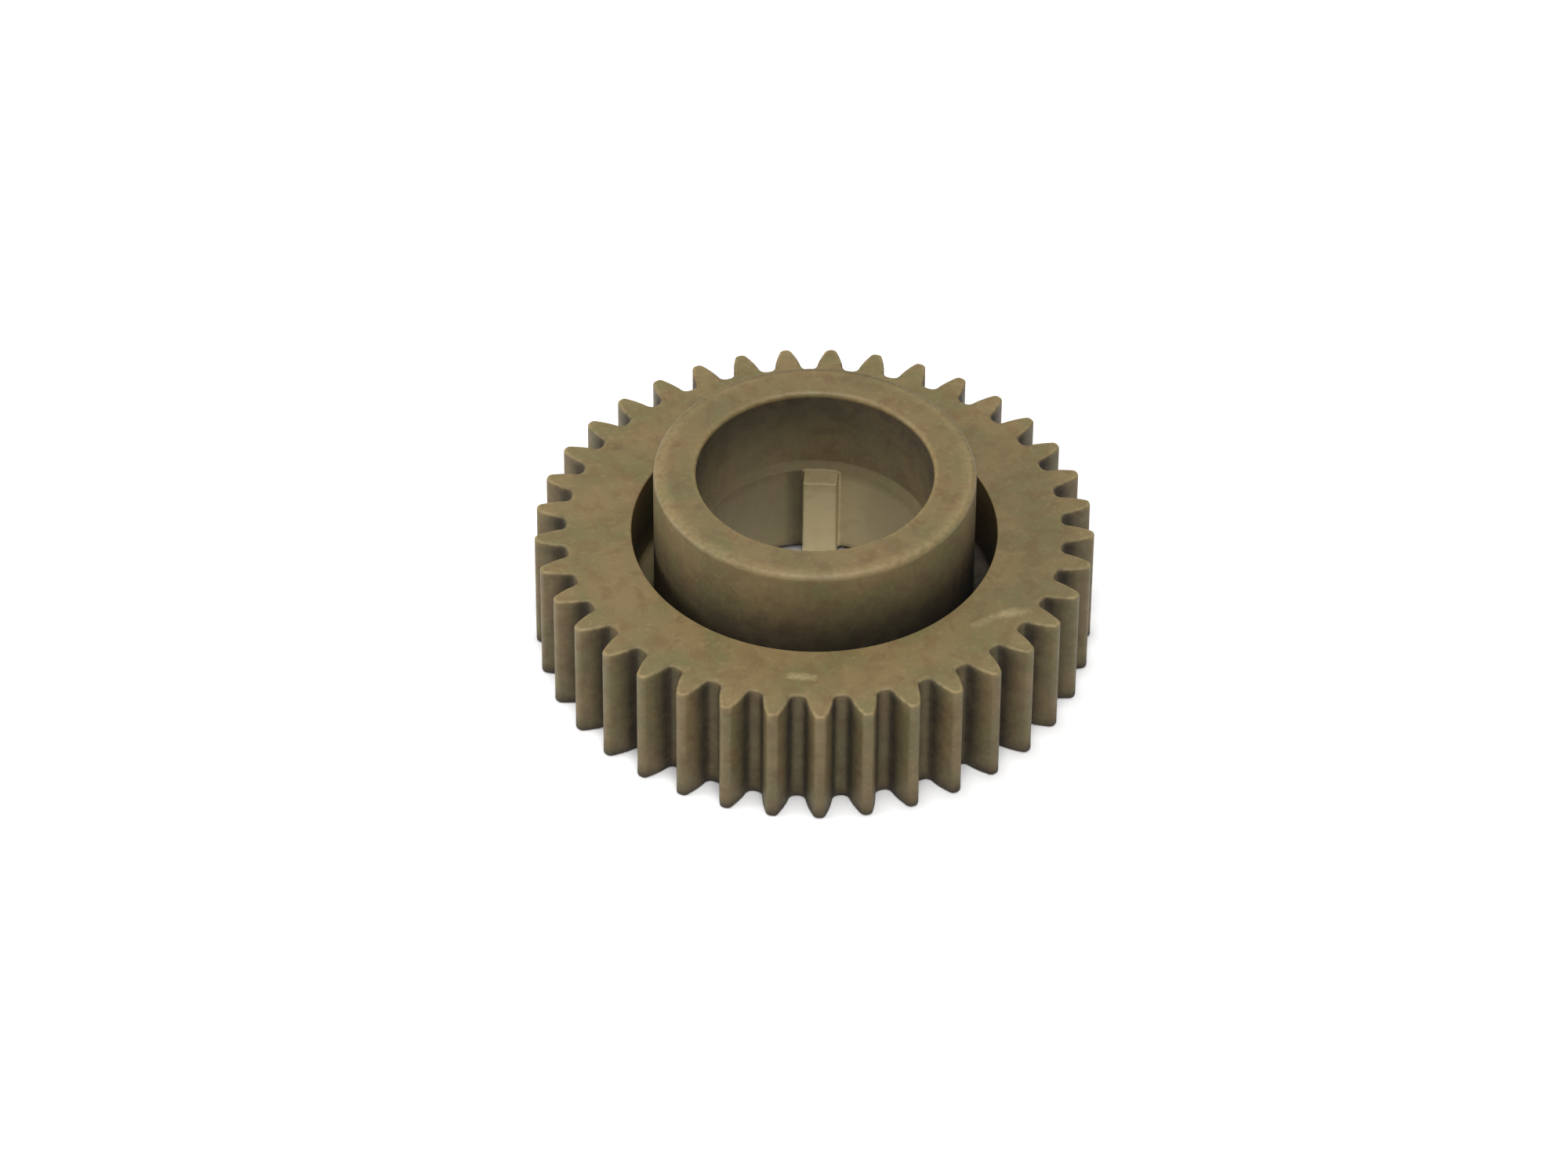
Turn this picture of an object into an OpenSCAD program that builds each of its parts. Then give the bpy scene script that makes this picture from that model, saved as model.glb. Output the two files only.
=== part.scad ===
// Keyed drive gear of a desktop printer, moulded in one piece. Millimetres, +Z up.
// The origin lies on the gear's axis, at the underside of the toothed rim.
// +Y runs through the key in the bore and through the middle of the tooth beyond it.

/* [Teeth] */
// Tooth size: pitch diameter divided by the number of teeth
tooth_module = 1; // [0.9:0.05:1.5]
// Number of teeth
teeth = 37; // [34:1:60]
// Pressure angle of the involute flanks, in degrees
pressure_angle = 20; // [19:0.5:23]
// Width of the teeth along the axis
face_w = 9.4; // [8:0.1:30]
// Free play at the pitch circle, which each tooth is made thinner by
mesh_gap = 0.12; // [0:0.01:0.15]
// Rounding of the two corners of each tooth tip
tip_round = 0.4; // [0.1:0.05:0.4]
// Fillet between each flank and the root circle
root_round = 0.5; // [0.3:0.05:0.5]
// Bevel that breaks the ends of the tooth tips
tip_bevel = 0.15; // [0.05:0.05:0.5]

/* [Hub] */
// Outer diameter of the raised hub
hub_d = 22.4; // [21:0.1:25]
// Height of the hub above the toothed rim
hub_h = 5.3; // [2:0.1:15]
// Rounding of the outer edge on top of the hub
hub_round = 0.4; // [0.1:0.1:1]

/* [Ring groove] */
// Width of the groove between the hub and the toothed rim
groove_w = 1.55; // [1:0.05:2]
// Depth of the groove below the top of the rim
groove_depth = 6.4; // [1:0.1:7]
// Rounding of the two corners on the groove's floor
groove_round = 0.4; // [0.1:0.05:0.45]

/* [Bore] */
// Diameter of the seat for the roller, from the lead-in up to the shoulder
bore_d = 16; // [13:0.1:17]
// Diameter of the wider bore above the shoulder
relief_d = 16.5; // [16.1:0.1:18]
// Depth of the shoulder's upper end below the top of the rim
shoulder_depth = 0.9; // [0.2:0.1:4]
// Height of the shoulder's sloping face
shoulder_h = 0.6; // [0.2:0.1:1]
// Bevel of the bore's upper edge
bore_bevel = 0.3; // [0.1:0.05:0.8]
// Lead-in bevel at the bore's lower end
lead_in = 1; // [0.2:0.1:1.5]

/* [Key] */
// Width of the key that stands in the seat
key_w = 2.4; // [1:0.1:4]
// How far the key stands in from the wall of the seat
key_h = 1.6; // [0.5:0.1:3]
// Rounding of the key's two inner edges
key_round = 0.2; // [0.1:0.05:0.45]

/* [Hidden] */
gear_colour = [0.53, 0.47, 0.33];
// Height of a tooth above and below its pitch circle, in modules
addendum = 1;
dedendum = 1.2;
// Straight pieces along one flank, one tip corner and one root fillet
flank_steps = 4;
tip_steps = 4;
root_steps = 4;
// Cuts run past the faces that they open by this much
over = 1;
// Sides of a full turn
turn_sides = 120;

pitch_r = tooth_module * teeth / 2;
base_r = pitch_r * cos(pressure_angle);
tip_r = pitch_r + addendum * tooth_module;
root_r = pitch_r - dedendum * tooth_module;
hub_r = hub_d / 2;
groove_r = hub_r + groove_w;
seat_r = bore_d / 2;
relief_r = relief_d / 2;
top_z = face_w + hub_h;
groove_z = face_w - groove_depth;
shoulder_top = face_w - shoulder_depth;
shoulder_end = shoulder_top - shoulder_h;

function degrees(radians) = radians * 180 / PI;
// Point at a distance from the origin, on a bearing clockwise from +Y
function polar(r, angle) = [r * sin(angle), r * cos(angle)];
function bearing(v) = atan2(v.x, v.y);

// A flank is the involute of the base circle. A point on it is found from the length of
// taut string unwound so far, here called its roll. A curve parallel to an involute is
// the same involute turned by the distance over the base radius, so each tip corner and
// root fillet is a true tangent arc, with its centre on such a parallel curve.
function inv(angle) = degrees(tan(angle)) - angle;
function roll_at(r) = sqrt(r * r - base_r * base_r);

// Half of the angle that a tooth fills at the pitch circle, then at any roll
half_tooth = 90 / teeth - degrees(mesh_gap / 2 / pitch_r);
function flank_angle(roll) = half_tooth + inv(pressure_angle) - inv(atan(roll / base_r));
function flank_point(roll) = polar(norm([base_r, roll]), flank_angle(roll));

// Centres of the two arcs, and the roll at which the flank meets each of them
tip_arc_r = tip_r - tip_round;
tip_arc_angle = flank_angle(roll_at(tip_arc_r)) - degrees(tip_round / base_r);
tip_centre = polar(tip_arc_r, tip_arc_angle);
flank_end = roll_at(tip_arc_r) + tip_round;
root_arc_r = root_r + root_round;
root_arc_angle = flank_angle(roll_at(root_arc_r)) + degrees(root_round / base_r);
root_centre = polar(root_arc_r, root_arc_angle);
flank_start = roll_at(root_arc_r) - root_round;

// Points of an arc about a centre, from one bearing to another
function arc(centre, r, from, to, steps) =
    [for (i = [0:steps]) centre + polar(r, from + (to - from) * i / steps)];

// Right side of the tooth that points along +Y, from the root circle up to the tip
tooth_side = concat(
    arc(root_centre, root_round, root_arc_angle + 180,
        bearing(flank_point(flank_start) - root_centre) + 360, root_steps),
    [for (i = [1:flank_steps - 1])
        flank_point(flank_start + (flank_end - flank_start) * i / flank_steps)],
    arc(tip_centre, tip_round, bearing(flank_point(flank_end) - tip_centre),
        tip_arc_angle, tip_steps));

// One tooth clockwise: up its left side, across the tip and down its right side
tooth = concat(
    [for (p = tooth_side) [-p.x, p.y]],
    [for (i = [len(tooth_side) - 1:-1:0]) tooth_side[i]]);

module gear_outline() {
    polygon([for (t = [0:teeth - 1], p = tooth) polar(norm(p), bearing(p) + t * 360 / teeth)]);
}

// Half section of the space that the tooth ends are bevelled to
module bevel_section() {
    polygon([
        [0, 0],
        [tip_r - tip_bevel, 0],
        [tip_r + over, tip_bevel + over],
        [tip_r + over, face_w - tip_bevel - over],
        [tip_r - tip_bevel, face_w],
        [0, face_w]
    ]);
}

module toothed_rim() {
    intersection() {
        translate([0, 0, -over])
            linear_extrude(face_w + 2 * over)
                gear_outline();
        rotate_extrude($fn = turn_sides)
            bevel_section();
    }
}

// Raised hub with its rounded upper edge, standing on the middle of the rim
module hub() {
    rotate_extrude($fn = turn_sides) {
        translate([0, groove_z])
            square([hub_r, top_z - hub_round - groove_z]);
        translate([0, groove_z])
            square([hub_r - hub_round, top_z - groove_z]);
        translate([hub_r - hub_round, top_z - hub_round])
            circle(hub_round, $fn = 32);
    }
}

// Ring groove that thins the moulding between hub and rim, with a rounded floor
module ring_groove() {
    rotate_extrude($fn = turn_sides)
        translate([hub_r, groove_z]) {
            translate([0, groove_round])
                square([groove_w, groove_depth - groove_round + over]);
            translate([groove_round, 0])
                square([groove_w - 2 * groove_round, groove_depth]);
            for (x = [groove_round, groove_w - groove_round])
                translate([x, groove_round])
                    circle(groove_round, $fn = 32);
        }
}

// Through bore: lead-in, seat, sloping shoulder, wider upper part and bevelled mouth
module bore() {
    rotate_extrude($fn = turn_sides)
        polygon([
            [0, -over],
            [seat_r + lead_in + over, -over],
            [seat_r, lead_in],
            [seat_r, shoulder_end],
            [relief_r, shoulder_top],
            [relief_r, top_z - bore_bevel],
            [relief_r + bore_bevel + over, top_z + over],
            [0, top_z + over]
        ]);
}

// Key along the seat, rooted in the wall behind the lead-in
module key() {
    key_in = seat_r - key_h;
    key_root = seat_r + lead_in;
    linear_extrude(shoulder_end) {
        translate([-key_w / 2, key_in + key_round])
            square([key_w, key_root - key_in - key_round]);
        translate([key_round - key_w / 2, key_in])
            square([key_w - 2 * key_round, key_root - key_in]);
        for (side = [-1, 1])
            translate([side * (key_w / 2 - key_round), key_in + key_round])
                circle(key_round, $fn = 24);
    }
}

module drive_gear() {
    color(gear_colour) {
        difference() {
            union() {
                difference() {
                    toothed_rim();
                    ring_groove();
                }
                hub();
            }
            bore();
        }
        key();
    }
}

drive_gear();
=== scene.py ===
"""Keyed drive gear of a desktop printer: its moulded shape, finish, floor, light and camera.

Sizes are written in millimetres and become metres where a mesh, light or camera is made.
+Z runs along the gear's axis towards the hub, and +Y through the key in the bore.
"""

import logging
from dataclasses import dataclass, field
from enum import Enum
from typing import Any, Mapping, Sequence, Union

import bpy
import numpy as np
from mathutils import Matrix, Vector


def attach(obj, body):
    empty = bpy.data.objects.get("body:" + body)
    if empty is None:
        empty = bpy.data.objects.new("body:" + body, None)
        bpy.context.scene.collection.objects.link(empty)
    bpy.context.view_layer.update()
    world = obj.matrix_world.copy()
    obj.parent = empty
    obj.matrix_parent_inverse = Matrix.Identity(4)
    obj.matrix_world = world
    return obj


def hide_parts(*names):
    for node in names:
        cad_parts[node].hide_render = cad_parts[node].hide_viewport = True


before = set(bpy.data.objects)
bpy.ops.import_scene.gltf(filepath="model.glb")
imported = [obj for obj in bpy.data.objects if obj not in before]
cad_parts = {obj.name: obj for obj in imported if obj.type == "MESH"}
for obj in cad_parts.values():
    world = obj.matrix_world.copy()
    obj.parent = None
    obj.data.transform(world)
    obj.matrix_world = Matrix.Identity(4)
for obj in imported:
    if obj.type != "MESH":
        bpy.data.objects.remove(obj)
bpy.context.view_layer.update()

log = logging.getLogger("drive_gear")
MM = 0.001
QUARTER = np.linspace(0, np.pi / 2, 4)


def polar(radius: Any, bearing: Any) -> np.ndarray:
    """Points at a radius from the axis, on a bearing clockwise from +Y.

    The formula is x = radius times the sine and y = radius times the cosine.

    Args:
        radius: one radius or an array of them.
        bearing: one bearing in radians or an array of them.

    Returns:
        Array of x, y pairs, one pair for each radius and bearing.
    """
    return np.stack(np.broadcast_arrays(radius * np.sin(bearing), radius * np.cos(bearing)), -1)


def corner(centre: tuple[float, float], radius: float, start: float, end: float,
           steps: int) -> np.ndarray:
    """Rounded corner of a turned section.

    The formula is centre plus radius times the cosine and sine of evenly spaced angles.

    Args:
        centre: distance from the axis and height of the arc's centre.
        radius: radius of the arc.
        start: first angle in degrees, 0 outwards and 90 upwards.
        end: last angle in degrees.
        steps: number of equal pieces.

    Returns:
        Array of steps + 1 rows of distance from the axis and height.
    """
    angle = np.radians(np.linspace(start, end, steps + 1))
    return np.column_stack([centre[0] + radius * np.cos(angle),
                            centre[1] + radius * np.sin(angle)])


def upright(radius: float, heights: Sequence[float]) -> np.ndarray:
    """Section points up or down a wall of one radius."""
    return np.array([[radius, height] for height in heights])


def level(height: float, radii: Sequence[float]) -> np.ndarray:
    """Section points across a flat of one height."""
    return np.array([[radius, height] for radius in radii])


def bump(rows: int) -> np.ndarray:
    """Wear and painted highlight, none at the ends of a rounded corner and full in its middle."""
    return np.sin(np.linspace(0, np.pi, rows))


def by_row(values: Any) -> np.ndarray:
    """One number, or one for each row, or one for each row and column, ready for a grid."""
    given = np.asarray(values, dtype=float)
    return given[:, None] if given.ndim == 1 else given


@dataclass(frozen=True)
class ToothForm:
    """Involute tooth: tip land, tip arc, flank, root fillet and root land.

    Attributes:
        module: pitch diameter divided by the number of teeth.
        teeth: number of teeth.
        pressure_angle: pressure angle of the flanks in degrees.
        addendum: height of a tooth above the pitch circle, in modules.
        dedendum: depth of a gap below the pitch circle, in modules.
        thinning: how much thinner each tooth is at the pitch circle.
        tip_round: rounding of the tip's two corners.
        root_round: fillet between flank and root circle.
        steps: columns of the grid along tip land, tip arc, flank, fillet and root land.
    """

    module: float = 1.0
    teeth: int = 37
    pressure_angle: float = 20.0
    addendum: float = 1.0
    dedendum: float = 1.2
    thinning: float = 0.12
    tip_round: float = 0.4
    root_round: float = 0.5
    steps: tuple[int, int, int, int, int] = (1, 5, 5, 5, 1)

    @property
    def pitch(self) -> float:
        """Angle from one tooth to the next, in radians."""
        return 2 * np.pi / self.teeth

    @property
    def tip_r(self) -> float:
        """Radius of the circle through the tips."""
        return self.module * (self.teeth / 2 + self.addendum)

    @property
    def root_r(self) -> float:
        """Radius of the circle between the teeth."""
        return self.module * (self.teeth / 2 - self.dedendum)

    @property
    def columns(self) -> int:
        """Columns of the grid round the whole gear."""
        return 2 * sum(self.steps) * self.teeth

    def half(self) -> tuple[np.ndarray, np.ndarray]:
        """Right half of one tooth, from its middle line to the middle of the next gap.

        A point of the flank lies where a string of the given roll, taut and tangent to the
        base circle, ends; the string is also the flank's normal. Each arc's centre lies on
        the string, one arc radius before the flank at the tip and one beyond it at the root.

        Returns:
            Points as x, y pairs, and the bearing of the outward normal at each.
        """
        pitch_r = self.module * self.teeth / 2
        angle = np.radians(self.pressure_angle)
        base_r = pitch_r * np.cos(angle)
        leaves = self.pitch / 4 - self.thinning / 2 / pitch_r + np.tan(angle) - angle
        land, tip, flank, root, gap = self.steps

        def string_end(roll: Any, length: Any) -> np.ndarray:
            """Point at a length along the string that touches the base circle at a roll."""
            touch = leaves - roll / base_r
            return polar(base_r, touch) + polar(length, touch + np.pi / 2)

        first = np.sqrt((self.tip_r - self.tip_round) ** 2 - base_r ** 2) + self.tip_round
        last = np.sqrt((self.root_r + self.root_round) ** 2 - base_r ** 2) - self.root_round
        tip_c = string_end(first, first - self.tip_round)
        root_c = string_end(last, last + self.root_round)
        tip_at, root_at = np.arctan2(tip_c[0], tip_c[1]), np.arctan2(root_c[0], root_c[1])

        on_land = np.linspace(0, tip_at, land + 1)[:-1]
        on_tip = np.linspace(tip_at, leaves - first / base_r + np.pi / 2, tip + 1)
        rolls = np.linspace(first, last, flank + 1)[1:]
        on_root = np.linspace(leaves - last / base_r + np.pi / 2, root_at, root + 1)[1:]
        on_gap = np.linspace(root_at, self.pitch / 2, gap + 1)[1:]
        points = np.concatenate([
            polar(self.tip_r, on_land), tip_c + polar(self.tip_round, on_tip),
            string_end(rolls, rolls), root_c - polar(self.root_round, on_root),
            polar(self.root_r, on_gap)])
        normals = np.concatenate([on_land, on_tip, leaves - rolls / base_r + np.pi / 2,
                                  on_root, on_gap])
        return points, normals

    def ring(self) -> tuple[np.ndarray, np.ndarray]:
        """Whole toothed outline, clockwise from the middle of the tooth along +Y.

        The right half of a tooth is mirrored into the left half of the next one, and the
        pitch that they make is turned on by one pitch for each tooth.

        Returns:
            Points as x, y pairs, and unit normals, one for each column of the grid.
        """
        points, normal = self.half()
        radius, bearing = np.hypot(*points.T), np.arctan2(*points.T)
        turns = self.pitch * np.arange(self.teeth)[:, None]

        def all_round(values: np.ndarray) -> np.ndarray:
            """Bearings of one half tooth carried round the whole gear."""
            return (np.concatenate([values, self.pitch - values[-2:0:-1]]) + turns).ravel()

        radii = np.tile(np.concatenate([radius, radius[-2:0:-1]]), self.teeth)
        return polar(radii, all_round(bearing)), polar(1.0, all_round(normal))

    def valley(self) -> np.ndarray:
        """Depth of each column of the grid in its gap, 0 on the tips and 1 on the root."""
        points, _ = self.ring()
        return (self.tip_r - np.hypot(*points.T)) / (self.tip_r - self.root_r)


@dataclass(frozen=True)
class KeyForm:
    """Key that stands in from the wall of the seat.

    Attributes:
        width: width across the key.
        inner: distance of its inner face from the axis.
        edge: rounding of its two inner edges.
        root: fillet between its sides and the wall.
        top: rounding round its upper end.
        steps: columns of the grid along half the face, the edge and the fillet.
    """

    width: float = 2.4
    inner: float = 6.4
    edge: float = 0.2
    root: float = 0.2
    top: float = 0.12
    steps: tuple[int, int, int] = (8, 6, 8)

    def reach(self, wall: float, columns: int) -> int:
        """Column at which the plain wall begins on either side of the key.

        Args:
            wall: radius of the wall.
            columns: columns of the grid round the whole gear.

        Returns:
            Number of columns that half the key takes.
        """
        ends = np.arcsin((self.width / 2 + self.root) / wall)
        return int(np.ceil(ends * columns / (2 * np.pi)))

    def rings(self, wall: np.ndarray, inset: np.ndarray, columns: int,
              reach: int) -> np.ndarray:
        """Rings round the bore that follow the key and then the wall.

        Along half the ring the points go across the face, round the edge, out along the
        side, round a fillet tangent to side and wall, and on along the circle of the wall.
        The fillet's centre lies one fillet radius beside the key and inside the wall.

        Args:
            wall: radius of the wall for each ring.
            inset: how far the key's outline is drawn in for each ring.
            columns: columns of the grid round the whole gear.
            reach: columns that half the key takes.

        Returns:
            Array of rings by columns of x, y pairs.
        """
        wall, inset = wall[:, None], inset[:, None]
        face, edge, fillet = self.steps
        half, inner = self.width / 2 - inset, self.inner + inset
        x_c = half + self.root
        y_c = np.sqrt((wall - self.root) ** 2 - x_c ** 2)
        across = np.arange(face) / face
        turn = np.pi / 2 * np.arange(edge) / edge
        out = np.arange(reach - face - edge - fillet)
        out = out / len(out)
        swing = -np.pi / 2 + (np.arctan2(x_c, y_c) + np.pi / 2) * np.arange(fillet) / fillet
        bearing = 2 * np.pi / columns * np.arange(reach, columns // 2 + 1)
        y_e = inner + self.edge
        x = np.concatenate([
            (half - self.edge) * across, half - self.edge + self.edge * np.sin(turn),
            half + 0 * out, x_c + self.root * np.sin(swing), wall * np.sin(bearing)], 1)
        y = np.concatenate([
            inner + 0 * across, y_e - self.edge * np.cos(turn),
            y_e + (y_c - y_e) * out, y_c + self.root * np.cos(swing),
            wall * np.cos(bearing)], 1)
        right = np.stack([x, y], -1)
        return np.concatenate([right, right[:, -2:0:-1] * (-1, 1)], 1)


@dataclass
class Band:
    """Rows of the grid that follow each other, with their wear, dirt, painted light and shade.

    Attributes:
        points: rows by columns of x, y, z.
        wear_and_highlight: rows by columns, 1 for edge wear and painted highlight.
        grime_and_shade: rows by columns, 1 where dirt and painted shade darken the surface.
        polish_and_light: rows by columns, 1 where the wall is smoother, with painted light.
    """

    points: np.ndarray
    wear_and_highlight: np.ndarray
    grime_and_shade: np.ndarray
    polish_and_light: np.ndarray


@dataclass
class GearMoulding:
    """The moulded gear: toothed rim, ring groove, hub and keyed bore as one closed skin.

    Attributes:
        tooth: form of the teeth.
        key: form of the key.
        face_w: width of the teeth along the axis.
        tooth_edge: rounding round both ends of the teeth.
        hub_r: radius of the hub.
        hub_h: height of the hub above the rim.
        hub_round: rounding of the hub's upper outer edge.
        groove_w: width of the ring groove.
        groove_depth: depth of the ring groove below the rim.
        groove_round: rounding of the groove's floor corners.
        groove_edge: rounding of the groove's outer upper edge.
        seat_r: radius of the seat below the shoulder.
        relief_r: radius of the bore above the shoulder.
        mouth_round: rounding of the bore's upper edge.
        shoulder_depth: depth of the shoulder's upper end below the rim.
        shoulder_h: height of the shoulder's slope.
        lead_in: bevel at the bore's lower end.
        skirt: how far inside the root circle the turned rows of the rim end.
        under_r: radius of the turned row in the middle of the underside.
        rim_row_r: radius of the turned row beside the groove on top of the rim.
        groove_margin: distance of the rows on the groove's wall from the wall's two ends.
        hub_margin: how far above the groove's floor, and above the rim, rows of the hub lie.
        key_growth: height over which the key's upper end grows out of the wall.
        name: name of the piece.
    """

    tooth: ToothForm = field(default_factory=ToothForm)
    key: KeyForm = field(default_factory=KeyForm)
    face_w: float = 9.4
    tooth_edge: float = 0.15
    hub_r: float = 11.2
    hub_h: float = 5.3
    hub_round: float = 0.4
    groove_w: float = 1.55
    groove_depth: float = 6.4
    groove_round: float = 0.4
    groove_edge: float = 0.12
    seat_r: float = 8.0
    relief_r: float = 8.25
    mouth_round: float = 0.3
    shoulder_depth: float = 0.9
    shoulder_h: float = 0.6
    lead_in: float = 1.0
    skirt: float = 0.6
    under_r: float = 12.5
    rim_row_r: float = 14.2
    groove_margin: float = 2.0
    hub_margin: float = 2.5
    key_growth: float = 0.9
    name: str = "gear_moulding"

    @property
    def bearings(self) -> np.ndarray:
        """Bearing of each column of a turned row, in radians."""
        return 2 * np.pi / self.tooth.columns * np.arange(self.tooth.columns)

    @property
    def sides(self) -> np.ndarray:
        """Share of each column: 1 to the left and right of the key, 0 in line with it."""
        return abs(np.sin(self.bearings))

    @property
    def nearer(self) -> np.ndarray:
        """Share of each column: 0 at the key, rising to 1 opposite it."""
        return 0.5 - 0.5 * np.cos(self.bearings)

    @property
    def near_right(self) -> np.ndarray:
        """Share of each column: 1 half way between opposite the key and the right."""
        return 0.5 + 0.5 * np.sin(self.bearings - np.pi / 4)

    @property
    def leftward(self) -> np.ndarray:
        """Share of each column: 0 on the right, rising to 1 on the left."""
        return 0.5 - 0.5 * np.sin(self.bearings)

    @property
    def top(self) -> float:
        """Height of the hub's top."""
        return self.face_w + self.hub_h

    @property
    def groove_z(self) -> float:
        """Height of the groove's floor."""
        return self.face_w - self.groove_depth

    @property
    def groove_r(self) -> float:
        """Outer radius of the groove."""
        return self.hub_r + self.groove_w

    @property
    def web_r(self) -> float:
        """Radius of the turned rows beside the toothed ones."""
        return self.tooth.root_r - self.skirt

    @property
    def shoulder(self) -> float:
        """Height of the shoulder's upper end."""
        return self.face_w - self.shoulder_depth

    @property
    def seat_z(self) -> float:
        """Height at which the seat meets the shoulder."""
        return self.shoulder - self.shoulder_h

    def tooth_band(self, inset: np.ndarray, z: np.ndarray, wear_and_highlight: np.ndarray,
                   grime_and_shade: np.ndarray, even_shade: np.ndarray) -> Band:
        """Rows along the toothed outline: outline minus inset times its normal.

        Dirt and painted shade in the gaps grow with the depth of the gap down the flanks, stay
        full along the fillets and are thinner on the root land between them.

        Args:
            inset: distance inside the outline for each row.
            z: height of each row.
            wear_and_highlight: wear and painted highlight of each row, which grow towards the tips.
            grime_and_shade: dirt and painted shade of each row, which lie in the gaps.
            even_shade: painted shade of each row, which lies evenly over tips and gaps.

        Returns:
            The rows as a band.
        """
        outline, normal = self.tooth.ring()
        flat = outline - inset[:, None, None] * normal
        high = np.broadcast_to(z[:, None, None], flat.shape[:2] + (1,))
        valley = np.clip(self.tooth.valley(), 0, 1)
        # Dirt and painted shade in the gaps, full along the fillets.
        gap_grime_and_shade = np.interp(valley, [0.04, 0.2, 0.5, 0.72, 0.93, 1.0],
                            [0.0, 0.25, 0.6, 1.0, 1.0, 0.4])
        return Band(np.concatenate([flat, high], 2), wear_and_highlight[:, None] * (1 - 0.6 * valley),
                    np.maximum(grime_and_shade[:, None] * gap_grime_and_shade, even_shade[:, None]), 0 * high[..., 0])

    def turned_band(self, section: np.ndarray, wear_and_highlight: Any = 0.0, grime_and_shade: Any = 0.0,
                    polish_and_light: Any = 0.0) -> Band:
        """Rows turned about the axis: each section point swept through all bearings.

        Args:
            section: rows of distance from the axis and height.
            wear_and_highlight: wear and painted highlight of these rows: one number, one
                for each row, or one for each row and column.
            grime_and_shade: dirt and painted shade of these rows, given in the same way.
            polish_and_light: smoothing and painted light of these rows, given in the same way.

        Returns:
            The rows as a band.
        """
        flat = polar(section[:, :1], self.bearings)
        high = np.broadcast_to(section[:, 1, None, None], flat.shape[:2] + (1,))
        even = np.ones(flat.shape[:2])
        return Band(np.concatenate([flat, high], 2), by_row(wear_and_highlight) * even,
                    by_row(grime_and_shade) * even, by_row(polish_and_light) * even)

    def keyed_band(self, wall: np.ndarray, z_wall: np.ndarray, z_key: np.ndarray,
                   proud: np.ndarray, inset: np.ndarray, on_wall: Any = 0.0,
                   on_face: Any = 0.0, grime_and_shade: float = 0.0) -> Band:
        """Rows round the bore that pass over the key.

        Each row lies between the plain circle of the wall and the ring that follows the
        key: circle plus proud times the way from circle to ring. The key and the wall on
        its right get the most smoothing and painted light, and a painted shadow of the key
        darkens the corner on its left. Both fade towards the key's upper end, which is darker.

        Args:
            wall: radius of the wall for each row.
            z_wall: height of each row on the plain wall.
            z_key: height of each row on the key.
            proud: 0 for a row on the circle, 1 for a row right round the key.
            inset: how far the key's outline is drawn in for each row.
            on_wall: smoothing and painted light of the wall, one number or one for each row.
            on_face: smoothing and painted light of the key, one number or one for each row.
            grime_and_shade: dirt and painted shade of the plain wall in these rows.

        Returns:
            The rows as a band.
        """
        columns = self.tooth.columns
        reach = self.key.reach(self.seat_r, columns)
        circle = polar(wall[:, None], self.bearings)
        ring = self.key.rings(wall, inset, columns, reach)
        flat = circle + proud[:, None, None] * (ring - circle)
        place = (np.arange(columns) + columns // 2) % columns - columns // 2
        on_key = (abs(place) < reach).astype(float)
        high = z_wall[:, None] + on_key * (z_key - z_wall)[:, None]
        edge = sum(self.key.steps[:2])
        # Painted light, strongest on the key and on the wall to its right.
        lit_side = np.interp(place, [-edge - 1, -edge, reach, 3 * reach, columns / 4, columns / 3],
                              [0.3, 1.0, 1.0, 0.65, 0.5, 0.3])
        # Painted shadow of the key on the wall to its left.
        key_shadow_side = np.interp(place, [-reach - 40, -reach - 12, -edge - 2, -edge],
                                [0.0, 0.65, 0.65, 0.0])
        polish_and_light_share = np.where(on_key > 0, by_row(on_face), by_row(on_wall))
        below = np.where(on_key > 0, by_row(on_face), 1.0)
        # Darker towards the key's upper end; on the wall, its own dirt and painted shade.
        loose_grime_and_shade = np.where(on_key > 0, 0.35 * (1 - by_row(on_face)), grime_and_shade)
        even = np.ones_like(high)
        return Band(np.concatenate([flat, high[..., None]], 2), 0 * even,
                    even * np.maximum(key_shadow_side * below, loose_grime_and_shade),
                    even * polish_and_light_share * (1 - (1 - lit_side) * below))

    def underside_bands(self) -> list[Band]:
        """Lower edge of the bore and the flat underside.

        Returns:
            Bands from the bore outwards.
        """
        one = np.ones(1)
        return [
            # Painted shade on the lower edge of the bevel, with some painted light on the key
            # there.
            self.keyed_band((self.seat_r + self.lead_in) * one, 0 * one, 0 * one, one, 0 * one,
                            0.2, 0.6, 1.0),
            self.turned_band(level(0.0, (self.under_r, self.web_r)))]

    def rim_bands(self) -> list[Band]:
        """Teeth from their lower edge to their upper one, then the top of the rim.

        The lower edge is a quarter circle: its rounding times one minus the sine gives the
        inset, and times one minus the cosine the height. The upper edge is its mirror
        image. Painted shade, darkest at the feet, thins out up the flanks; dirt and painted
        shade stay in the gaps, and the upper edge has wear and painted highlight.

        Returns:
            Bands upwards and then inwards.
        """
        one, e = np.ones(1), self.tooth_edge
        lip, land_inset = np.array([0.35, 0.8, 1.0, 1.0]), np.array([e + 0.12])
        flank_z = np.array([0.04, 0.09, 0.16, 0.4, 0.7, 0.95]) * self.face_w
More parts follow.
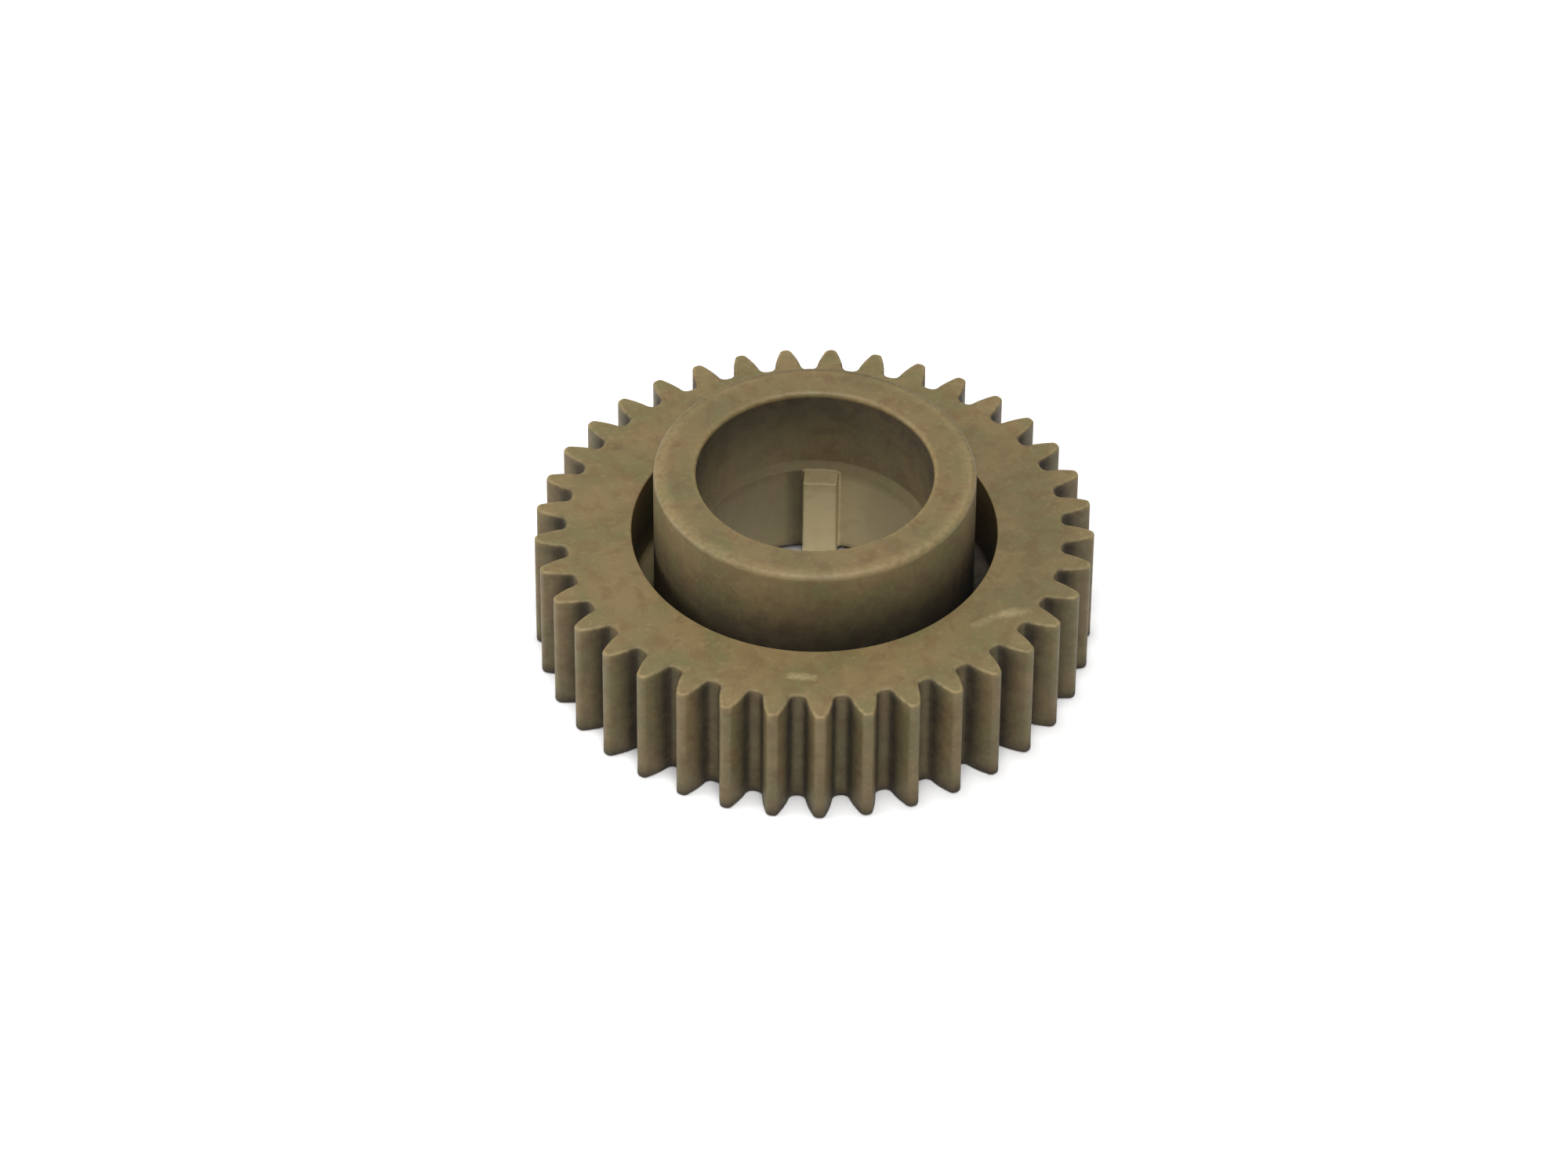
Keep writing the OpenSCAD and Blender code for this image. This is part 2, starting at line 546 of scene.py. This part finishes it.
        # Painted shade, darkest at the foot of the teeth and thinning out up the flanks.
        flank_shade = np.array([0.85, 0.5, 0.26, 0.24, 0.2, 0.14])
        return [
            self.tooth_band(e * (1 - np.sin(QUARTER)), e * (1 - np.cos(QUARTER)),
                            0 * lip, 1 + 0 * lip, 0.95 + 0 * lip),
            self.tooth_band(0 * flank_z, flank_z, 0.1 + 0 * flank_z, 1.0 + 0 * flank_z,
                            flank_shade),
            self.tooth_band(e * (1 - np.cos(QUARTER)), self.face_w - e + e * np.sin(QUARTER),
                            0.8 * lip, 0.9 * lip[::-1], 0 * lip),
            self.tooth_band(land_inset, self.face_w * one, 0.2 * one, 0 * one, 0 * one),
            self.turned_band(level(self.face_w, (self.web_r, self.rim_row_r)))]

    def groove_bands(self) -> list[Band]:
        """Ring groove: its outer edge and wall, then the two corners of its floor.

        Returns:
            Bands down and inwards.
        """
        g, edge = self.groove_round, self.groove_edge
        wall_z = (self.face_w - self.groove_margin, self.groove_z + self.groove_margin)
        # Painted shade in the groove, on its wall deeper down and on its floor, less on the left.
        floor_shade = (1.1 - 0.65 * self.leftward)[None]
        return [
            # Wear and painted highlight on the groove's outer edge.
            self.turned_band(corner((self.groove_r + edge, self.face_w - edge), edge,
                                    90, 180, 3), 0.4 * bump(4)),
            self.turned_band(upright(self.groove_r, wall_z), 0.0, (0.4, 0.8)),
            self.turned_band(corner((self.groove_r - g, self.groove_z + g), g, 0, -90, 4),
                             0.0, floor_shade),
            self.turned_band(corner((self.hub_r + g, self.groove_z + g), g, -90, -180, 4),
                             0.0, floor_shade)]

    def hub_bands(self) -> list[Band]:
        """Hub: its side, its rounded upper edge, its top and the mouth of the bore.

        Painted shade darkens the side, most at its foot and on the near right. The edge has wear
        and a painted highlight, least in line with the key, where painted shade on it grows.

        Returns:
            Bands upwards and then inwards.
        """
        h, m = self.hub_round, self.mouth_round
        top_r = (self.hub_r - h - 0.2, self.hub_r - h - 0.7, self.relief_r + m + 0.15)
        # Painted shade on the hub's side, deepest at its foot and on the near right.
        side_shade = 0.38 + np.outer((0.3, 0.14), 1 + 2 * self.near_right)
        # Wear and painted highlight on the hub's upper edge and top, least in line with the key.
        wear_and_light_share = self.nearer + self.sides
        # Painted shade on the hub's upper edge, growing in line with the key.
        far_edge_shade = 0.4 * np.clip(np.cos(self.bearings), 0, 1)[None]
        edge_wear_and_highlight = 0.3 * np.outer(np.minimum(1, np.linspace(0, 2, 7)), wear_and_light_share)
        # Wear and painted highlight round the bore's mouth, most at the sides.
        mouth_wear_and_highlight = 0.1 + 0.3 * self.nearer + 0.4 * self.sides
        return [
            self.turned_band(upright(self.hub_r, (self.groove_z + self.hub_margin, self.face_w)),
                             0.0, side_shade),
            # Painted shade on the hub's upper side, more on the near right.
            self.turned_band(upright(self.hub_r, (self.face_w + self.hub_margin,)), 0.1,
                             0.12 + 0.35 * self.near_right[None]),
            self.turned_band(corner((self.hub_r - h, self.top - h), h, 0, 90, 6), edge_wear_and_highlight,
                             far_edge_shade),
            self.turned_band(level(self.top, top_r), 0.3 * np.outer((0.7, 0, 0), wear_and_light_share),
                             (0.0, 0.1, 0.1)),
            self.turned_band(corner((self.relief_r + m, self.top - m), m, 90, 180, 5),
                             np.outer(bump(6), mouth_wear_and_highlight))]

    def bore_bands(self) -> list[Band]:
        """Bore below its mouth: wide wall, shoulder, seat with the key, and lead-in.

        The wide wall has painted shade at its top and painted light lower down on its left.
        Seven rows make the key's upper end: three run out over its flat, three turn down
        round its edge and one lies below, while on the wall they are spread evenly.

        Returns:
            Bands downwards; the last one meets the first of the underside.
        """
        one, k = np.ones(1), self.key.top
        wall_z = (self.top - self.mouth_round - 0.1, self.top - 1.6,
                  self.shoulder + 1.8, self.shoulder + 0.12)
        # Painted shade under the mouth; painted light lower down, on the left only.
        wall_shade, wall_light = (0.8, 0.8, 0.36, 0.2), (0, 0.2, 0.2, 0.2)
        key_end, below_end = self.seat_z - self.key_growth, np.array([5.0, 3.0, 1.4, self.lead_in])
        bevel, half_way = self.seat_r + self.lead_in * 0.5 * one, self.lead_in * 0.5 * one
        return [
            self.turned_band(upright(self.relief_r, wall_z), 0.0, wall_shade,
                             np.outer(wall_light, self.leftward)),
            # Painted shade on the shoulder, more on the left, with some painted light.
            self.turned_band(np.array([[self.relief_r - 0.02, self.shoulder - 0.02],
                                       [self.seat_r + 0.03, self.seat_z + 0.08],
                                       [self.seat_r, self.seat_z]]),
                             0.0, np.outer((0.45, 0.45, 0.3), 1 + 0.4 * self.leftward), 0.35),
            # Painted light on the seat, growing downwards and strongest on the key's face.
            self.keyed_band(
                np.full(7, self.seat_r), np.linspace(self.seat_z, key_end, 8)[1:],
                np.concatenate([np.full(3, self.seat_z),
                                self.seat_z - k + k * np.cos(QUARTER[1:]), [key_end]]),
                np.array([0.35, 0.7, 1, 1, 1, 1, 1]),
                np.concatenate([np.full(3, k), k * (1 - np.sin(QUARTER[1:])), [0]]),
                (0.45, 0.5, 0.55, 0.65, 0.7, 0.8, 0.9),
                (0.2, 0.2, 0.25, 0.35, 0.55, 0.75, 0.95), 0.2),
            # Painted light low on the seat and on the key, with a little painted shade on the wall.
            self.keyed_band(np.full(4, self.seat_r), below_end, below_end, np.ones(4),
                            np.zeros(4), (1.0, 1.0, 0.9, 0.6), 1.0, 0.2),
            # Painted shade on the lead-in bevel, with some painted light.
            self.keyed_band(bevel, half_way, half_way, one, 0 * one, 0.3, 0.8, 1.0)]

    def bands(self) -> list[Band]:
        """The whole skin as bands, from the bore's lower edge out, up, in and down again.

        Returns:
            Bands in order; the last one meets the first.
        """
        return (self.underside_bands() + self.rim_bands() + self.groove_bands()
                + self.hub_bands() + self.bore_bands())

    def mesh(self) -> bpy.types.Mesh:
        """Makes the closed skin a mesh with smooth, area-weighted normals.

        Rows and columns both close on themselves, so every four neighbouring points make
        one face and none is left open. A face's area vector is half the cross product of
        its diagonals, and a point's normal is the sum of those round it.

        Returns:
            The mesh in metres, with wear, dirt, smoothing and painted light and shade as
            attributes.
        """
        bands = self.bands()
        grid = np.concatenate([band.points for band in bands]) * MM
        rows, columns, _ = grid.shape
        index = np.arange(rows * columns).reshape(rows, columns)
        quads = np.stack([index, np.roll(index, -1, 0),
                          np.roll(index, (-1, -1), (0, 1)), np.roll(index, -1, 1)], -1)
        points = grid.reshape(-1, 3)
        corners = points[quads]
        area = np.cross(corners[:, :, 2] - corners[:, :, 0],
                        corners[:, :, 3] - corners[:, :, 1]) / 2
        if (area * corners.mean(2)).sum() < 0:
            quads, area = quads[..., ::-1], -area
        normal = sum(np.roll(area, shift, (0, 1)) for shift in ((0, 0), (1, 0), (0, 1), (1, 1)))
        normal = normal.reshape(-1, 3)
        normal /= np.linalg.norm(normal, axis=1)[:, None]

        made = bpy.data.meshes.new(self.name)
        made.vertices.add(len(points))
        made.vertices.foreach_set("co", points.astype(np.float32).ravel())
        made.loops.add(quads.size)
        made.loops.foreach_set("vertex_index", quads.astype(np.int32).ravel())
        made.polygons.add(index.size)
        made.polygons.foreach_set("loop_start", np.arange(0, quads.size, 4, dtype=np.int32))
        made.update(calc_edges=True)
        made.validate()
        made.polygons.foreach_set("use_smooth", np.ones(len(made.polygons), dtype=bool))
        for label in ("wear_and_highlight", "grime_and_shade", "polish_and_light"):
            values = np.concatenate([getattr(band, label) for band in bands])
            made.attributes.new(label, "FLOAT", "POINT").data.foreach_set(
                "value", values.astype(np.float32).ravel())
        made.normals_split_custom_set_from_vertices(normal.tolist())
        return made

    def build(self, finish: "MouldedTan") -> bpy.types.Object:
        """Makes the piece, dresses it and puts it in the place of its solid.

        Args:
            finish: the plastic of the moulding.

        Returns:
            The finished object.
        """
        piece = bpy.data.objects.new(self.name, self.mesh())
        bpy.context.scene.collection.objects.link(piece)
        piece.data.materials.append(finish.make())
        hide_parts("drive_gear")
        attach(piece, "root")
        return piece


class Sum(Enum):
    """Sums that a shader value can be put through."""

    ADD = "ADD"
    TAKE = "SUBTRACT"
    TIMES = "MULTIPLY"
    OVER = "DIVIDE"


Term = Union["Value", float]


class Value:
    """A number that a shader works out, with the sums that can be made of it."""

    def __init__(self, sheet: "NodeSheet", socket: bpy.types.NodeSocket) -> None:
        """Wraps a socket of a sheet.

        Args:
            sheet: the sheet that the socket's node lies on.
            socket: the socket that gives the number.
        """
        self.sheet, self.socket = sheet, socket

    def _sum(self, kind: Sum, first: Term, second: Term) -> "Value":
        """Adds one Math node.

        Args:
            kind: which sum.
            first: its first term.
            second: its second term.

        Returns:
            The result as a value.
        """
        return self.sheet.node("Math", {"operation": kind.value}, {0: first, 1: second})[0]

    def __add__(self, other: Term) -> "Value":
        """This value plus another."""
        return self._sum(Sum.ADD, self, other)

    def __radd__(self, other: float) -> "Value":
        """A number plus this value."""
        return self._sum(Sum.ADD, other, self)

    def __sub__(self, other: Term) -> "Value":
        """This value less another."""
        return self._sum(Sum.TAKE, self, other)

    def __rsub__(self, other: float) -> "Value":
        """A number less this value."""
        return self._sum(Sum.TAKE, other, self)

    def __mul__(self, other: Term) -> "Value":
        """This value times another."""
        return self._sum(Sum.TIMES, self, other)

    def __rmul__(self, other: float) -> "Value":
        """A number times this value."""
        return self._sum(Sum.TIMES, other, self)

    def __truediv__(self, other: Term) -> "Value":
        """This value over another."""
        return self._sum(Sum.OVER, self, other)


@dataclass(frozen=True)
class Patches:
    """Size and kind of soft random patches.

    Attributes:
        scale: patches per millimetre.
        detail: how many finer layers lie on top.
        warp: how much the patches are bent.
    """

    scale: float
    detail: float
    warp: float = 0.0


class NodeSheet:
    """The node tree of one material, written from Python."""

    def __init__(self, material: bpy.types.Material) -> None:
        """Clears a material's nodes.

        Args:
            material: the material to write to.
        """
        material.use_nodes = True
        self.tree = material.node_tree
        self.tree.nodes.clear()

    def node(self, kind: str, settings: Mapping[str, Any],
             inputs: Mapping[Union[str, int], Any]) -> list[Value]:
        """Adds one node, sets it up and joins its inputs.

        Args:
            kind: the node's type without its ShaderNode prefix.
            settings: its properties, set first.
            inputs: a number, tuple or value for each input, by name or place.

        Returns:
            Its outputs as values.
        """
        made = self.tree.nodes.new("ShaderNode" + kind)
        for name, setting in settings.items():
            setattr(made, name, setting)
        for name, given in inputs.items():
            if isinstance(given, Value):
                self.tree.links.new(given.socket, made.inputs[name])
            else:
                made.inputs[name].default_value = given
        return [Value(self, socket) for socket in made.outputs]

    def noise(self, place: Value, patches: Patches) -> Value:
        """Soft random patches between 0 and 1.

        Args:
            place: where on the surface, in millimetres.
            patches: their size and kind.

        Returns:
            The noise as a value.
        """
        return self.node("TexNoise", {}, {
            "Vector": place, "Scale": patches.scale, "Detail": patches.detail,
            "Distortion": patches.warp})[0]

    def ramp(self, value: Value, low: float, high: float, start: float = 0.0,
             end: float = 1.0) -> Value:
        """Smooth step from start, below low, to end, above high.

        Args:
            value: the value that is mapped.
            low: where the step begins.
            high: where it ends.
            start: result below low.
            end: result above high.

        Returns:
            The mapped value.
        """
        return self.node("MapRange", {"interpolation_type": "SMOOTHSTEP"},
                         {"Value": value, "From Min": low, "From Max": high,
                          "To Min": start, "To Max": end})[0]

    def mix(self, share: Value, first: Any, second: Any) -> Value:
        """Colour between two others.

        Args:
            share: 0 for the first colour, 1 for the second.
            first: the first colour.
            second: the second colour.

        Returns:
            The mixed colour.
        """
        return self.node("Mix", {"data_type": "RGBA"}, {0: share, 6: first, 7: second})[2]


class Tone(Enum):
    """What a small mark on the rim does to the plastic's colour."""

    SCUFF = "scuff"
    SMUDGE = "smudge"


@dataclass(frozen=True)
class Mark:
    """One small oval mark on the top of the rim.

    Attributes:
        tone: pale scuff or dark smudge.
        middle: its x, y in millimetres.
        half: half of its length and of its width in millimetres.
        turn: direction of its length in degrees, counted from +X to +Y.
        share: how strongly it shows.
    """

    tone: Tone
    middle: tuple[float, float]
    half: tuple[float, float]
    turn: float
    share: float

    def cover(self, sheet: NodeSheet, x: Value, y: Value, ragged: Value) -> Value:
        """Share of the mark at each place.

        With u and v the place along and across the mark over its half sizes, the mark
        shows where u squared plus v squared plus a ragged edge is less than one.

        Args:
            sheet: the sheet that the nodes go on.
            x: x of the place in millimetres.
            y: y of the place in millimetres.
            ragged: noise that frays the edge.

        Returns:
            0 outside the mark, up to its share inside.
        """
        cos, sin = float(np.cos(np.radians(self.turn))), float(np.sin(np.radians(self.turn)))
        across, along = y - self.middle[1], x - self.middle[0]
        u = (along * cos + across * sin) / self.half[0]
        v = (across * cos - along * sin) / self.half[1]
        return sheet.ramp(u * u + v * v + (ragged - 0.5) * 2.0, -0.6, 1.0, self.share, 0.0)


@dataclass(frozen=True)
class MouldedTan:
    """Tan moulded plastic, mottled, with edge wear, dirt and painted light, shade and highlights.

    Colours are linear.

    Attributes:
        tan: main colour.
        olive: greener patches.
        umber: redder, darker patches.
        bare_and_highlight: lighter colour of fine patches, edge wear and painted highlights.
        pale: paler colour of scuffs, and of painted light on the key and the wall.
        dirt_and_shade: dark colour of dirt, smudges and painted shade.
        gloss: mean roughness of the surface.
        grain: depth of the surface grain in millimetres.
        draw: depth of the draw marks on the walls in millimetres.
        relief: strength of the bumps that grain and draw marks make.
        ior: refractive index.
        shine: specular level.
        clouds: widest patches, of olive.
        mottle: middle patches, of umber.
        fine: fine patches, of lighter colour.
        grains: patches of the surface grain.
        streaks: patches that the draw marks are stretched from.
        stretch: scale of the streaks along the axis over their scale across it.
        rim_z: heights between which the marks on the rim begin to show.
        marks: scuffs and smudges on the rim.
    """

    tan: tuple[float, ...] = (0.168, 0.120, 0.051, 1.0)
    olive: tuple[float, ...] = (0.130, 0.110, 0.044, 1.0)
    umber: tuple[float, ...] = (0.126, 0.075, 0.031, 1.0)
    bare_and_highlight: tuple[float, ...] = (0.260, 0.195, 0.090, 1.0)
    pale: tuple[float, ...] = (0.500, 0.410, 0.220, 1.0)
    dirt_and_shade: tuple[float, ...] = (0.026, 0.021, 0.016, 1.0)
    gloss: float = 0.46
    grain: float = 0.02
    draw: float = 0.03
    relief: float = 0.7
    ior: float = 1.5
    shine: float = 0.3
    clouds: Patches = Patches(0.22, 2.0, 0.4)
    mottle: Patches = Patches(0.75, 3.0, 0.6)
    fine: Patches = Patches(2.6, 3.0)
    grains: Patches = Patches(9.0, 2.0)
    streaks: Patches = Patches(3.2, 2.0)
    stretch: float = 0.06
    rim_z: tuple[float, float] = (9.2, 9.38)
    marks: tuple[Mark, ...] = (
        Mark(Tone.SCUFF, (14.0, -7.9), (1.9, 0.6), 20.0, 0.4),
        Mark(Tone.SCUFF, (12.2, -8.9), (1.5, 0.5), 38.0, 0.22),
        Mark(Tone.SCUFF, (0.1, -15.4), (1.5, 0.5), 0.0, 0.42),
        Mark(Tone.SMUDGE, (-14.4, 7.5), (1.0, 0.7), -20.0, 0.3),
    )

    def make(self) -> bpy.types.Material:
        """Writes the plastic's nodes.

        Returns:
            The finished material.
        """
        plastic = bpy.data.materials.new("moulded_tan_plastic")
        sheet = NodeSheet(plastic)
        spot = sheet.node("TexCoord", {}, {})[3]
        place = sheet.node("Mapping", {}, {"Vector": spot, "Scale": (1 / MM,) * 3})[0]
        along = sheet.node("Mapping", {}, {
            "Vector": spot, "Scale": (1 / MM, 1 / MM, self.stretch / MM)})[0]
        x, y, z = sheet.node("SeparateXYZ", {}, {"Vector": place})
        wear_and_highlight, grime_and_shade, polish_and_light = [
            sheet.node("Attribute", {"attribute_name": label}, {})[2]
            for label in ("wear_and_highlight", "grime_and_shade", "polish_and_light")]

        clouds, mottle, fine, grain = [
            sheet.noise(place, patches)
            for patches in (self.clouds, self.mottle, self.fine, self.grains)]
        drawn = sheet.noise(along, self.streaks)

        colour = sheet.mix(sheet.ramp(clouds, 0.38, 0.62), self.tan, self.olive)
        colour = sheet.mix(sheet.ramp(mottle, 0.42, 0.72) * 0.6, colour, self.umber)
        colour = sheet.mix(sheet.ramp(fine, 0.5, 0.8) * 0.3, colour, self.bare_and_highlight)
        # Painted light makes the key and the seat's wall paler.
        colour = sheet.mix(polish_and_light * sheet.ramp(mottle, 0.25, 0.6, 0.8, 1.0), colour, self.pale)
        # Dirt and painted shade darken the gaps, groove, hub side, bore and feet.
        soil_and_shade = grime_and_shade * sheet.ramp(mottle, 0.25, 0.7, 0.78, 0.96)
        colour = sheet.mix(soil_and_shade, colour, self.dirt_and_shade)
        # Edge wear and painted highlights make edges lighter.
        worn_and_lit = wear_and_highlight * sheet.ramp(fine, 0.3, 0.6, 0.35, 1.0)
        colour = sheet.mix(worn_and_lit, colour, self.bare_and_highlight)
        on_rim = sheet.ramp(z, *self.rim_z)
        for mark in self.marks:
            tone = self.pale if mark.tone is Tone.SCUFF else self.dirt_and_shade
            colour = sheet.mix(on_rim * mark.cover(sheet, x, y, fine), colour, tone)

        rough = self.gloss + (mottle - 0.5) * 0.22 + (grain - 0.5) * 0.12 + grime_and_shade * 0.3
        height = (grain * self.grain + drawn * self.draw + fine * self.grain) * (
            1 - polish_and_light * 0.7)
        normal = sheet.node("Bump", {}, {"Strength": self.relief, "Distance": MM,
                                         "Height": height})[0]
        skin = sheet.node("BsdfPrincipled", {}, {
            "Base Color": colour, "Roughness": rough, "Normal": normal, "IOR": self.ior,
            "Specular IOR Level": self.shine})[0]
        sheet.node("OutputMaterial", {}, {"Surface": skin})
        return plastic


@dataclass(frozen=True)
class PaleFloor:
    """Plain matt white table under the gear.

    Attributes:
        reach: half of its side in millimetres.
        drop: how far it lies under the gear, in millimetres.
        white: its linear colour.
        gloss: its roughness.
    """

    reach: float = 3000.0
    drop: float = 0.02
    white: tuple[float, ...] = (0.93, 0.93, 0.93, 1.0)
    gloss: float = 0.9

    def build(self) -> bpy.types.Object:
        """Lays the floor just under the gear: a grid of two by two points.

        Returns:
            The floor.
        """
        side = self.reach * MM * np.array([-1.0, 1.0])
        x, y = np.meshgrid(side, side)
        points = np.stack([x, y, 0 * x - self.drop * MM], -1).reshape(-1, 3)
        mesh = bpy.data.meshes.new("floor")
        mesh.from_pydata(points.tolist(), [], [(0, 1, 3, 2)])
        floor = bpy.data.objects.new("floor", mesh)
        bpy.context.scene.collection.objects.link(floor)
        paint = bpy.data.materials.new("matt_white")
        sheet = NodeSheet(paint)
        skin = sheet.node("BsdfPrincipled", {}, {"Base Color": self.white,
                                                 "Roughness": self.gloss})[0]
        sheet.node("OutputMaterial", {}, {"Surface": skin})
        mesh.materials.append(paint)
        return floor


class Panel(Enum):
    """Soft light panels of the studio, by where they hang."""

    OVERHEAD = "overhead"
    FRONT = "front"
    LEFT = "left"
    BACK = "back"


@dataclass(frozen=True)
class SoftPanel:
    """One soft square light.

    Attributes:
        side: side of the square in millimetres.
        place: its centre in millimetres.
        watts: its power.
    """

    side: float
    place: tuple[float, float, float]
    watts: float

    def build(self, panel: Panel) -> bpy.types.Object:
        """Hangs the panel so that it faces the gear.

        Args:
            panel: which panel this is.

        Returns:
            The light.
        """
        lamp = bpy.data.lights.new("panel_" + panel.value, "AREA")
        lamp.shape, lamp.size, lamp.energy = "SQUARE", self.side * MM, self.watts
        light = bpy.data.objects.new("panel_" + panel.value, lamp)
        bpy.context.scene.collection.objects.link(light)
        place = Vector(self.place) * MM
        turn = (-place).to_track_quat("-Z", "Y").to_matrix().to_4x4()
        light.matrix_world = Matrix.Translation(place) @ turn
        return light


@dataclass
class Studio:
    """Soft light from above, front and left, with a little from behind, in a pale room.

    Attributes:
        panels: the light panels.
        room: linear colour of the room's own light.
        room_strength: its strength.
    """

    panels: dict[Panel, SoftPanel] = field(default_factory=lambda: {
        Panel.OVERHEAD: SoftPanel(160.0, (0.0, 0.0, 600.0), 2.0),
        Panel.FRONT: SoftPanel(220.0, (40.0, -330.0, 480.0), 1.6),
        Panel.LEFT: SoftPanel(300.0, (-560.0, -60.0, 280.0), 1.75),
        Panel.BACK: SoftPanel(300.0, (0.0, 400.0, 450.0), 0.2),
    })
    room: tuple[float, ...] = (1.0, 1.0, 1.0, 1.0)
    room_strength: float = 0.32

    def build(self) -> list[bpy.types.Object]:
        """Hangs the panels and lights the room.

        Returns:
            The lights.
        """
        world = bpy.data.worlds.new("pale_room")
        world.use_nodes = True
        back = world.node_tree.nodes["Background"]
        back.inputs["Color"].default_value = self.room
        back.inputs["Strength"].default_value = self.room_strength
        bpy.context.scene.world = world
        bpy.context.scene.view_settings.view_transform = "Standard"
        return [soft.build(panel) for panel, soft in self.panels.items()]


@dataclass(frozen=True)
class PhotoCamera:
    """Camera that looks down on the gear from the front.

    Attributes:
        target: point on the axis that the camera's place is counted from, in millimetres.
        bearing: compass bearing of the camera seen from the target, in degrees.
        elevation: its height above the rim's plane, in degrees.
        distance: its distance from the target in millimetres.
        roll: turn of the picture in degrees.
        lens: focal length in millimetres.
        sensor: width of the sensor in millimetres.
        offset: how far right of and above the middle of the picture the target lies, as
            shares of the picture's width.
    """

    target: tuple[float, float, float] = (0.0, 0.0, 9.4)
    bearing: float = 176.84
    elevation: float = 41.25
    distance: float = 509.5
    roll: float = 0.66
    lens: float = 167.9
    sensor: float = 36.0
    offset: tuple[float, float] = (38.7 / 2000, 76.4 / 2000)

    def axes(self) -> tuple[np.ndarray, np.ndarray]:
        """Place and axes of the camera.

        The view runs from the camera to the target, less the offset times the picture's
        right and up axes, each scaled by sensor width over lens.

        Returns:
            The place in millimetres, and a 3 by 3 array with right, up and back as columns.
        """
        rise, turn, roll = np.radians([self.elevation, self.bearing, self.roll])
        away = np.append(polar(np.cos(rise), turn), np.sin(rise))
        place = np.array(self.target) + self.distance * away
        right = np.cross(-away, (0, 0, 1))
        right /= np.linalg.norm(right)
        up = np.cross(right, -away)
        right, up = (np.cos(roll) * right + np.sin(roll) * up,
                     np.cos(roll) * up - np.sin(roll) * right)
        view = -away - self.sensor / self.lens * (self.offset[0] * right + self.offset[1] * up)
        view /= np.linalg.norm(view)
        right -= right @ view * view
        right /= np.linalg.norm(right)
        return place, np.column_stack([right, np.cross(right, view), -view])

    def build(self) -> bpy.types.Object:
        """Sets up the camera and makes it the scene's.

        Returns:
            The camera.
        """
        place, axes = self.axes()
        data = bpy.data.cameras.new("photo_camera")
        data.lens, data.sensor_width, data.sensor_fit = self.lens, self.sensor, "HORIZONTAL"
        camera = bpy.data.objects.new("photo_camera", data)
        bpy.context.scene.collection.objects.link(camera)
        matrix = np.eye(4)
        matrix[:3, :3], matrix[:3, 3] = axes, place * MM
        camera.matrix_world = Matrix(matrix.tolist())
        bpy.context.scene.camera = camera
        return camera


def main() -> None:
    """Builds the camera, floor, light and gear in order and reports each piece."""
    logging.basicConfig(level=logging.INFO, format="%(name)s: %(message)s")
    log.info("camera %s", PhotoCamera().build().name)
    log.info("floor %s", PaleFloor().build().name)
    log.info("lights %s", [light.name for light in Studio().build()])
    gear = GearMoulding().build(MouldedTan())
    log.info("piece %s with %d faces", gear.name, len(gear.data.polygons))


if __name__ == "__main__":
    main()
